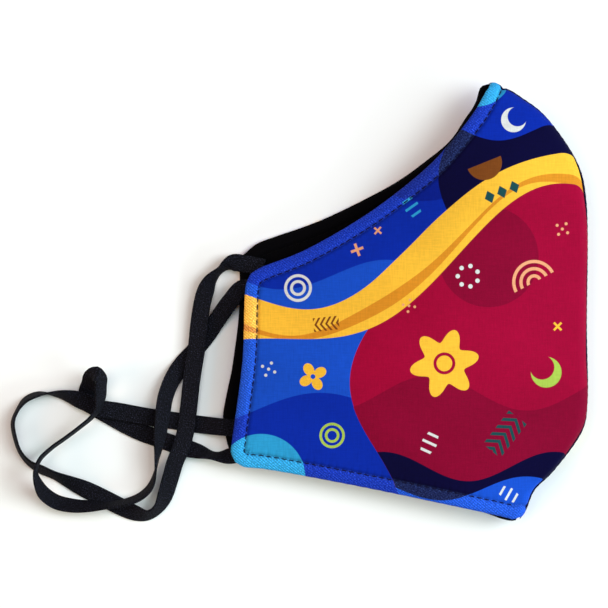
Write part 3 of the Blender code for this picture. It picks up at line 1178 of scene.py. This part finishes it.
@dataclass
class Hem:
    """How a free edge is folded over and sewn.

    Attributes:
        width: From the edge to the stitch line.
        puff: How far the folded cloth stands up between them.
        groove: How deep the stitches pull the cloth in.
        groove_width: How wide that pull is.
    """

    width: float = 4.7 * MM
    puff: float = 0.42 * MM
    groove: float = 0.4 * MM
    groove_width: float = 0.75 * MM

    def relief(self, inward: Array, round_over: float) -> Array:
        """Return how far the cloth stands over its plain face.

        Args:
            inward: Distances from the nearest free edge.
            round_over: The radius of the rounded edge.

        Returns:
            Heights, below 0 where the cloth is drawn in.
        """
        puffed = self.puff * np.sin(math.pi * np.clip(inward / self.width, 0.0, 1.0))
        drawn = self.groove * np.exp(-(((inward - self.width) / self.groove_width) ** 2))
        short = round_over - np.minimum(inward, round_over)
        rounded = round_over - np.sqrt(np.maximum(round_over**2 - short**2, 0.0))
        return puffed - drawn - rounded


@dataclass
class ClothGrid:
    """A half's outer face as a grid of points, from the side edge to the seam and upwards.

    Attributes:
        points: The points in metres.
        normals: The directions outwards from the mask.
        place: Places on the laid-out cloth, in millimetres.
        hem_place: How far along the free edges and in from them, in millimetres.
    """

    points: Array
    normals: Array
    place: Array
    hem_place: Array


@dataclass
class MaskHalf:
    """One half of the mask: its outline seen from above and the height of its outer face.

    Attributes:
        name: The half's name.
        outline: Its four edges.
        sections: The heights of its outer face.
        side: 1 for the upper half and -1 for the lower one.
        width: From the side edge to the seam.
        height: From the chin to the nose.
        arch: The height that the sections' first four columns are shares of.
        seam_rise: The height that the sections' last column is shares of.
        shift: How far the folded mask's middle lies towards the seam.
        seam_gap: The gap between the halves at the seam.
        seam_lip: How far each half's edge stands past its bend there.
        bend_down: How far the cloth drops as it bends into the seam.
        bend_across: How much of its width that bend takes.
        closed_by: How much closer than half the seam's gap the last column comes to the middle.
        hem_share: The share of the width that gets the closer columns of the hem.
        hem_columns: How many columns that share has.
        body_columns: How many columns there are from there to the bend.
        bend_columns: How many columns the bend has.
        end_share: The share of the height, at the top and the bottom, that gets closer rows.
        end_rows: How many rows such an end has.
        middle_rows: How many rows lie between the two ends.
        fall_columns: How many columns back from the last the seam's direction is taken.
        edge_steps: How many points each free edge is drawn with.
        edges: The four edges as smooth curves, which __post_init__ draws.
    """

    name: str
    outline: Outline
    sections: tuple[Section, ...]
    side: int
    width: float = 120.9 * MM
    height: float = 148.0 * MM
    arch: float = 26.0 * MM
    seam_rise: float = 14.0 * MM
    shift: float = 0.95 * MM
    seam_gap: float = 0.3 * MM
    seam_lip: float = 0.4 * MM
    bend_down: float = 3.35 * MM
    bend_across: float = 3.4 * MM
    closed_by: float = 0.02 * MM
    hem_share: float = 0.055
    hem_columns: int = 14
    body_columns: int = 84
    bend_columns: int = 8
    end_share: float = 0.1
    end_rows: int = 28
    middle_rows: int = 88
    fall_columns: int = 12
    edge_steps: int = 1200
    edges: dict[str, Array] = field(default_factory=dict)

    def __post_init__(self) -> None:
        """Draw the four edges."""
        for name, places in self.outline._asdict().items():
            self.edges[name] = smooth_line(places)

    def plan(self, across: Array, up: Array) -> Array:
        """Place points of the half, seen from above.

        Args:
            across: Shares of the way from the side edge to the seam.
            up: Shares of the way from the bottom edge to the top edge.

        Returns:
            x and y, one a row.
        """
        top, bottom = (at_shares(self.edges[name], across) for name in ("top", "bottom"))
        side, seam = (at_shares(self.edges[name], up) for name in ("side", "seam"))
        a, u = across[:, None], up[:, None]
        corners = (1 - a) * ((1 - u) * self.edges["side"][0] + u * self.edges["side"][-1])
        corners = corners + a * ((1 - u) * self.edges["seam"][0] + u * self.edges["seam"][-1])
        share = (1 - u) * bottom + u * top + (1 - a) * side + a * seam - corners
        return (share - 0.5) * (self.width, self.height) + (self.shift, 0.0)

    def level(self, across: Array, up: Array) -> Array:
        """Work out the outer face's height before it bends into the seam.

        Args:
            across: Shares of the way from the side edge to the seam.
            up: Shares of the way from the bottom edge to the top edge.

        Returns:
            One height for each point.
        """
        columns = np.array(self.sections).T
        heights = [smooth_values(column, up) * self.arch for column in columns[:-1]]
        seam = smooth_values(columns[-1], up) * self.seam_rise
        heights.append(seam + self.side * (self.seam_gap / 2 + self.seam_lip + self.bend_down))
        return np.maximum(smooth_values(np.array(heights), across), 0.0)

    def free_edges(self, inset: float = 0.0) -> Array:
        """Follow the top edge from the nose, then the side edge, then the bottom edge to the chin.

        Args:
            inset: How far the edges are drawn in.

        Returns:
            Close points seen from above, one a row.
        """
        low_across, low_up = inset / self.width, inset / self.height
        steps = np.linspace(0.0, 1.0, self.edge_steps)
        across = low_across + (1 - low_across) * steps
        up = low_up + (1 - 2 * low_up) * steps
        top = self.plan(across[::-1], np.full_like(steps, up[-1]))
        side = self.plan(np.full_like(steps, across[0]), up[::-1])
        bottom = self.plan(across, np.full_like(steps, up[0]))
        return np.concatenate((top, side[1:], bottom[1:]))

    def grid(self, inset: float, short_of_seam: float = 0.0) -> ClothGrid:
        """Lay out the outer face, with closer points near the free edges and in the seam's bend.

        Args:
            inset: How far the free edges are drawn in.
            short_of_seam: How far the cloth stops before the seam; 0 takes it through the bend.

        Returns:
            The grid.
        """
        bend = self.bend_across / self.width
        last = (1 - short_of_seam / self.width) if short_of_seam else 1 - bend
        across = [
            np.linspace(0.0, self.hem_share, self.hem_columns, endpoint=False),
            np.linspace(self.hem_share, last, self.body_columns),
        ]
        drop = [np.zeros(self.hem_columns + self.body_columns)]
        if not short_of_seam:
            turns = np.linspace(math.pi / 2, 0.0, self.bend_columns + 1)[1:]
            across += [1 - bend * (1 - np.cos(turns)), [1.0]]
            lip_end = self.bend_down + self.seam_lip + self.seam_gap / 2 - self.closed_by
            drop += [self.bend_down * (1 - np.sin(turns)), [lip_end]]
        shares, drops = np.concatenate(across), np.concatenate(drop)
        low, high = self.end_share, 1 - self.end_share
        ups = np.concatenate(
            (
                np.linspace(0.0, low, self.end_rows, endpoint=False),
                np.linspace(low, high, self.middle_rows, endpoint=False),
                np.linspace(high, 1.0, self.end_rows + 1),
            )
        )
        across_in, up_in = inset / self.width, inset / self.height
        columns, rows = across_in + (1 - across_in) * shares, up_in + (1 - 2 * up_in) * ups
        a, u = np.meshgrid(columns, rows, indexing="ij")
        flat = self.plan(a.ravel(), u.ravel()).reshape(*a.shape, 2)
        z = self.level(a.ravel(), u.ravel()).reshape(a.shape) - self.side * drops[:, None]
        points = np.concatenate((flat, z[..., None]), axis=-1)
        slopes = (np.gradient(points, axis=axis) for axis in (0, 1))
        normals = unit(np.cross(*slopes)) * self.side
        places = self.cloth_places(flat, drops), self.hem_places(flat, inset)
        return ClothGrid(points, normals, *places)

    def cloth_places(self, flat: Array, drops: Array) -> Array:
        """Spread the cloth out flat, so that its print isn't stretched where it bends down.

        Args:
            flat: The grid seen from above.
            drops: How far each column has dropped into the seam.

        Returns:
            Places in millimetres.
        """
        outward = unit(flat[-1] - flat[-self.fall_columns])
        place = np.zeros((*flat.shape[:2], 3))
        place[..., :2] = flat + outward[None] * drops[:, None, None]
        if self.side < 0:
            place[..., 1] *= -1
        return place / MM

    def hem_places(self, flat: Array, inset: float) -> Array:
        """Measure how far along the free edges and in from them each point lies.

        Args:
            flat: The grid seen from above.
            inset: How far the free edges are drawn in.

        Returns:
            The two distances in millimetres, and a 0.
        """
        chain = self.free_edges(inset)
        travelled = distances_along(chain)
        tree = nearest_finder(chain)
        place = np.zeros((*flat.shape[:2], 3))
        found = [tree.find((x, y, 0.0)) for x, y in flat.reshape(-1, 2).tolist()]
        place[..., 0] = travelled[[hit[1] for hit in found]].reshape(flat.shape[:2])
        place[..., 1] = np.array([hit[2] for hit in found]).reshape(flat.shape[:2])
        return place / MM

    def sewing_line(self, inward: float) -> Array:
        """Follow the free edges at a distance inside them.

        Args:
            inward: That distance.

        Returns:
            Close points seen from above, from the nose round to the chin.
        """
        chain = self.free_edges()
        ahead = unit(np.gradient(chain, axis=0))
        inside = np.column_stack((-ahead[:, 1], ahead[:, 0]))
        moved = chain + inside * inward
        tree = nearest_finder(chain)
        nearest = inward - 0.04 * MM
        return np.array([spot for spot in moved.tolist() if tree.find((*spot, 0.0))[2] > nearest])


@dataclass
class ClothLayer:
    """A layer of a half's cloth: a grid thickened into a closed wall with a rounded edge.

    Attributes:
        name: The piece's name.
        node: The frame's solid that it stands for.
        half: The half that it belongs to.
        depth: How deep its outer side lies under the half's outer face.
        wall: How thick it is.
        inset: How far its free edges are drawn in.
        short_of_seam: How far it stops before the seam.
        inside_shows: Whether its dressed side faces the mask's inside.
        slot: The name of a material slot; not used.
        flat: The width and length of the piece that it was cut from; not used.
        hem: How its free edges are sewn.
        ripple: How high the cloth's soft ripples are.
        rounding: The radius of its edge, as a share of its wall.
    """

    name: str
    node: str
    half: MaskHalf
    depth: float
    wall: float
    inset: float
    short_of_seam: float
    inside_shows: bool
    slot: str
    flat: tuple[float, float] = (0.126, 0.152)
    hem: Hem = field(default_factory=Hem)
    ripple: float = 0.3 * MM
    rounding: float = 0.85

    def ripples(self, grid: ClothGrid) -> Array:
        """Shape the cloth's soft ripples, which fade out at the hem.

        Args:
            grid: The half's outer face.

        Returns:
            One height for each point.
        """
        fade_from, fade_to = 5.0, 16.0
        x, y = grid.place[..., 0], grid.place[..., 1]
        swell = np.sin(x / 9.5 + 1.3 * np.sin(y / 17.0)) * np.sin(y / 13.0 + 0.8)
        swell += 0.6 * np.sin((x + 1.4 * y) / 6.5 + np.sin(x / 14.0))
        return self.ripple * swell * ease(fade_from, fade_to, grid.hem_place[..., 1])

    def build(self, material: bpy.types.Material) -> bpy.types.Object:
        """Build the layer and dress it.

        Args:
            material: Its finish.

        Returns:
            The layer.
        """
        grid = self.half.grid(self.inset, self.short_of_seam)
        inward = grid.hem_place[..., 1] * MM
        lift = self.hem.relief(inward, self.wall * self.rounding) + self.ripples(grid)
        outer = grid.points - grid.normals * self.depth
        inner = grid.points - grid.normals * (self.depth + self.wall)
        if self.inside_shows:
            inner = inner - grid.normals * lift[..., None]
        else:
            outer = outer + grid.normals * lift[..., None]
        outer[..., 2] = np.maximum(outer[..., 2], 0.0)
        columns, rows = inward.shape
        points = np.concatenate((outer.reshape(-1, 3), inner.reshape(-1, 3)))
        marks = {
            "cloth_place": np.concatenate((grid.place.reshape(-1, 3),) * 2),
            "hem_place": np.concatenate((grid.hem_place.reshape(-1, 3),) * 2),
        }
        piece = add_piece(self.name, points, self.wall_faces(columns, rows), marks)
        piece.data.materials.append(material)
        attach(piece, BODY)
        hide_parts(self.node)
        log.info("%s: %d faces", self.name, len(piece.data.polygons))
        return piece

    def wall_faces(self, columns: int, rows: int) -> Array:
        """Join the two sides of the wall.

        Args:
            columns: The grid's columns.
            rows: The grid's rows.

        Returns:
            Faces that point outwards, as rows of point numbers.
        """
        numbers = np.arange(columns * rows).reshape(columns, rows)
        quads = np.stack(
            (numbers[:-1, :-1], numbers[1:, :-1], numbers[1:, 1:], numbers[:-1, 1:]), axis=-1
        ).reshape(-1, 4)
        rim = np.concatenate(
            (numbers[:-1, 0], numbers[-1, :-1], numbers[:0:-1, -1], numbers[0, :0:-1])
        )
        after = np.roll(rim, -1)
        back = columns * rows
        strip = np.stack((rim, rim + back, after + back, after), axis=-1)
        faces = np.concatenate((quads, quads[:, ::-1] + back, strip))
        return faces if self.half.side > 0 else faces[:, ::-1]


@dataclass
class Topstitch:
    """A row of machine stitches along a layer's free edges.

    Attributes:
        name: The piece's name.
        layer: What it is sewn to.
        from_above: Whether it shows on the layer's upper side.
        inward: How far in from the free edges it runs.
        stitch: How long a stitch is.
        pitch: From one stitch to the next.
        thread: The thread's diameter.
        rise: How high the middle of a stitch lies over the cloth.
        dive: How far its ends lie below its middle.
        sections: How many cross sections a stitch has.
        sides: How many sides the thread has.
    """

    name: str
    layer: ClothLayer
    from_above: bool
    inward: float = 4.7 * MM
    stitch: float = 2.15 * MM
    pitch: float = 2.6 * MM
    thread: float = 0.36 * MM
    rise: float = 0.13 * MM
    dive: float = 0.3 * MM
    sections: int = 7
    sides: int = 6

    def build(self, material: bpy.types.Material) -> bpy.types.Object:
        """Sew the row.

        Args:
            material: The thread's finish.

        Returns:
            All its stitches as one piece.
        """
        cloth = bpy.data.objects[self.layer.name].data
        corners = [vertex.co for vertex in cloth.vertices]
        tree = BVHTree.FromPolygons(corners, [polygon.vertices for polygon in cloth.polygons])
        line = self.layer.half.sewing_line(self.inward)
        travelled = distances_along(line)
        points: list[Vector] = []
        faces: list[tuple[int, ...]] = []
        marks: list[tuple[float, float, float]] = []
        sense = 1.0 if self.from_above else -1.0
        for start in np.arange(self.pitch / 2, travelled[-1] - self.stitch / 2, self.pitch):
            steps = np.linspace(-1.0, 1.0, self.sections)
            wanted = start + steps * self.stitch / 2
            flat = [np.interp(wanted, travelled, line[:, axis]) for axis in (0, 1)]
            hits = [
                tree.ray_cast(Vector((x, y, sense * RAY_START)), Vector((0.0, 0.0, -sense)))
                for x, y in zip(*flat)
            ]
            if any(hit[0] is None for hit in hits):
                continue
            first = len(points)
            ahead = (hits[-1][0] - hits[0][0]).normalized()
            for step, hit in zip(steps, hits):
                normal = hit[1] if hit[1].z * sense > 0 else -hit[1]
                across = ahead.cross(normal).normalized()
                radius = self.thread / 2 * math.sqrt(1.02 - step**2 * 0.75)
                middle = hit[0] + normal * (self.rise - self.dive * step**4)
                middle.z = max(middle.z, radius)
                for side in range(self.sides):
                    turn = 2 * math.pi * side / self.sides
                    outward = across * math.cos(turn) + normal * math.sin(turn)
                    points.append(middle + outward * radius)
                    marks.append(((start + step * self.stitch / 2) / MM, float(side), 0.0))
            for face in tube_faces(self.sections, self.sides):
                faces.append(tuple(first + corner for corner in face))
        piece = add_piece(
            self.name,
            np.array([tuple(point) for point in points]),
            faces,
            {"thread_place": np.array(marks)},
        )
        piece.data.materials.append(material)
        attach(piece, BODY)
        log.info("%s: %d stitches", self.name, len(points) // (self.sections * self.sides))
        return piece


@dataclass
class SeamRidgeAndShade:
    """The narrow sewn ridge that stands out along the centre seam, where the halves meet, drawn as
    a dark cord: its dark colour is painted shade for the crease line there.

    Attributes:
        name: The piece's name.
        half: The half whose edge it follows.
        radius: Its half thickness.
        out: How far its middle stands out from the panels' edges.
        step: From one cross section to the next.
        sides: How many points a cross section has.
        pitch: From one seam stitch to the next.
        taper: How far from each end it starts to grow thin.
        swell: How much thicker it is at a stitch, as a share.
    """

    name: str
    half: MaskHalf
    radius: float = 0.34 * MM
    out: float = 0.08 * MM
    step: float = 0.65 * MM
    sides: int = 10
    pitch: float = 2.6 * MM
    taper: float = 2.0 * MM
    swell: float = 0.12

    def build(self, material: bpy.types.Material) -> bpy.types.Object:
        """Build the ridge and its painted shade along the seam.

        Args:
            material: Its finish.

        Returns:
            The ridge.
        """
        edge = self.half.grid(0.0).points[-1]
        travelled = distances_along(edge)
        places = np.linspace(0.0, travelled[-1], math.ceil(travelled[-1] / self.step) + 1)
        line = read_along(edge, travelled, places)
        ahead = unit(np.gradient(line, axis=0))
        outward = unit(np.cross(ahead, (0.0, 0.0, 1.0)))
        upright = np.cross(outward, ahead)
        from_end = np.minimum(places, places[-1] - places)
        ends = np.sqrt(np.clip(from_end / self.taper, 0.02, 1.0))
        radius = self.radius * ends * (1 + self.swell * np.cos(2 * math.pi * places / self.pitch))
        turns = np.linspace(0.0, 2 * math.pi, self.sides, endpoint=False)
        cosines, sines = np.cos(turns)[None, :, None], np.sin(turns)[None, :, None]
        round_it = outward[:, None] * cosines + upright[:, None] * sines
        rings = (line + outward * self.out)[:, None] + radius[:, None, None] * round_it
        thread_place = np.zeros_like(rings)
        thread_place[..., 0] = places[:, None] / MM
        thread_place[..., 1] = turns[None]
        piece = add_piece(
            self.name,
            rings.reshape(-1, 3),
            tube_faces(len(line), self.sides),
            {"thread_place": thread_place.reshape(-1, 3)},
        )
        piece.data.materials.append(material)
        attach(piece, BODY)
        return piece


class SoftLamp(NamedTuple):
    """A large soft lamp that faces the mask.

    azimuth and elevation are the degrees that it stands round from the right and up from the
    floor. power is in watts.
    """

    name: str
    azimuth: float
    elevation: float
    power: float
    colour: tuple[float, float, float]


@dataclass
class Studio:
    """A pale floor, lit so brightly that it burns out where no shadow falls.

    Attributes:
        floor_size: The floor's width.
        floor_drop: How far the floor lies under the mask.
        lamps: The lamps round the mask.
        lamp_size: A lamp's width.
        lamp_distance: How far from the mask's middle each stands.
    """

    floor_size: float = 6.0
    floor_drop: float = 0.02 * MM
    lamps: tuple[SoftLamp, ...] = (
        SoftLamp("main_lamp", 15, 43, 8.1, (0.85, 0.95, 1.0)),
        SoftLamp("low_lamp", -30, 25, 7.7, (0.79, 1.0, 0.98)),
        SoftLamp("high_lamp", 5, 68, 5.2, (0.89, 1.0, 1.0)),
        SoftLamp("back_lamp", 120, 68, 3.0, (1.0, 0.88, 0.98)),
        SoftLamp("warm_fill", 190, 25, 5.5, (1.0, 0.62, 0.42)),
        SoftLamp("rear_fill", 180, 68, 2.0, (0.85, 1.0, 0.82)),
    )
    lamp_size: float = 0.6
    lamp_distance: float = 1.2

    def build(self) -> None:
        """Set up the floor and the lamps."""
        reach = self.floor_size / 2
        corners = [(x * reach, y * reach, 0.0) for x, y in ((-1, -1), (1, -1), (1, 1), (-1, 1))]
        sunk = np.array(corners) - (0.0, 0.0, self.floor_drop)
        floor = add_piece("studio_floor", sunk, [(0, 1, 2, 3)], {})
        floor.data.materials.append(PaleFloor().material())
        floor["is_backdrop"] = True
        for lamp in self.lamps:
            self.hang(lamp)
        world = bpy.data.worlds.new("dark_room")
        world.use_nodes = True
        world.node_tree.nodes["Background"].inputs["Strength"].default_value = 0.0
        bpy.context.scene.world = world
        bpy.context.scene.view_settings.view_transform = "Standard"

    def hang(self, lamp: SoftLamp) -> None:
        """Put a lamp in its place, facing the mask.

        Args:
            lamp: The lamp.
        """
        data = bpy.data.lights.new(lamp.name, "AREA")
        data.shape = "SQUARE"
        data.size = self.lamp_size
        data.energy = lamp.power
        data.color = lamp.colour
        turn, rise = math.radians(lamp.azimuth), math.radians(lamp.elevation)
        ahead, left = math.cos(rise) * math.cos(turn), math.cos(rise) * math.sin(turn)
        place = Vector((ahead, left, math.sin(rise)))
        light = bpy.data.objects.new(lamp.name, data)
        light.location = place * self.lamp_distance
        light.rotation_mode = "QUATERNION"
        light.rotation_quaternion = (-place).to_track_quat("-Z", "Y")
        bpy.context.collection.objects.link(light)


def build_half(half: MaskHalf, node_side: str, finishes: dict[str, bpy.types.Material]) -> None:
    """Build a half's printed panel and lining and sew their free edges.

    Args:
        half: The half.
        node_side: The end of its nodes' names in the frame.
        finishes: The materials by name.
    """
    upper = half.side > 0
    panel = ClothLayer(
        name=f"printed_panel_{half.name}",
        node=f"outer_panel_{node_side}",
        half=half,
        depth=0.0,
        wall=1.15 * MM,
        inset=0.0 if upper else 1.1 * MM,
        short_of_seam=0.0,
        inside_shows=False,
        slot="printed_cloth",
    )
    lining = ClothLayer(
        name=f"lining_{half.name}",
        node=f"lining_panel_{node_side}",
        half=half,
        depth=1.2 * MM,
        wall=1.3 * MM,
        inset=0.8 * MM if upper else 0.0,
        short_of_seam=(2.6 if upper else 1.5) * MM,
        inside_shows=True,
        slot="lining_cloth",
    )
    panel.build(finishes["print"])
    lining.build(finishes["lining"])
    outside = Topstitch(f"topstitch_{half.name}", panel, from_above=upper)
    inside = Topstitch(f"topstitch_lining_{half.name}", lining, from_above=not upper)
    sewn_on = [outside.build(finishes["thread"])]
    if upper:
        # The seam's ridge is a dark cord: painted shade along the crease between the halves.
        sewn_on.append(SeamRidgeAndShade("centre_seam_ridge_and_shade", half).build(finishes["thread"]))
    inside.build(finishes["dark thread"])


def main() -> None:
    """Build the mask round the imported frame, and the studio round the mask."""
    logging.basicConfig(level=logging.INFO, format="%(name)s: %(message)s")
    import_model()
    OverheadCamera().build()
    elastic = WovenElastic().material()
    EarLoop("ear_loop_elastic_lower", "ear_loop_left", LOWER_LOOP_ROUTE).build(elastic)
    EarLoop("ear_loop_elastic_upper", "ear_loop_right", UPPER_LOOP_ROUTE).build(elastic)
    finishes = {
        "print": PrintedCloth().material(),
        "lining": LiningCloth().material(),
        "thread": SewingThread("navy_thread", Ink.THREAD).material(),
        "dark thread": SewingThread("black_thread", Ink.DARK_THREAD).material(),
    }
    build_half(MaskHalf("lower", LOWER_OUTLINE, LOWER_SECTIONS, -1), "left", finishes)
    build_half(MaskHalf("upper", UPPER_OUTLINE, UPPER_SECTIONS, 1), "right", finishes)
    Studio().build()
    low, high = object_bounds()
    corners = [[round(value / MM, 1) for value in corner] for corner in (low, high)]
    log.info("visual box %s to %s", *corners)


if __name__ == "__main__":
    main()
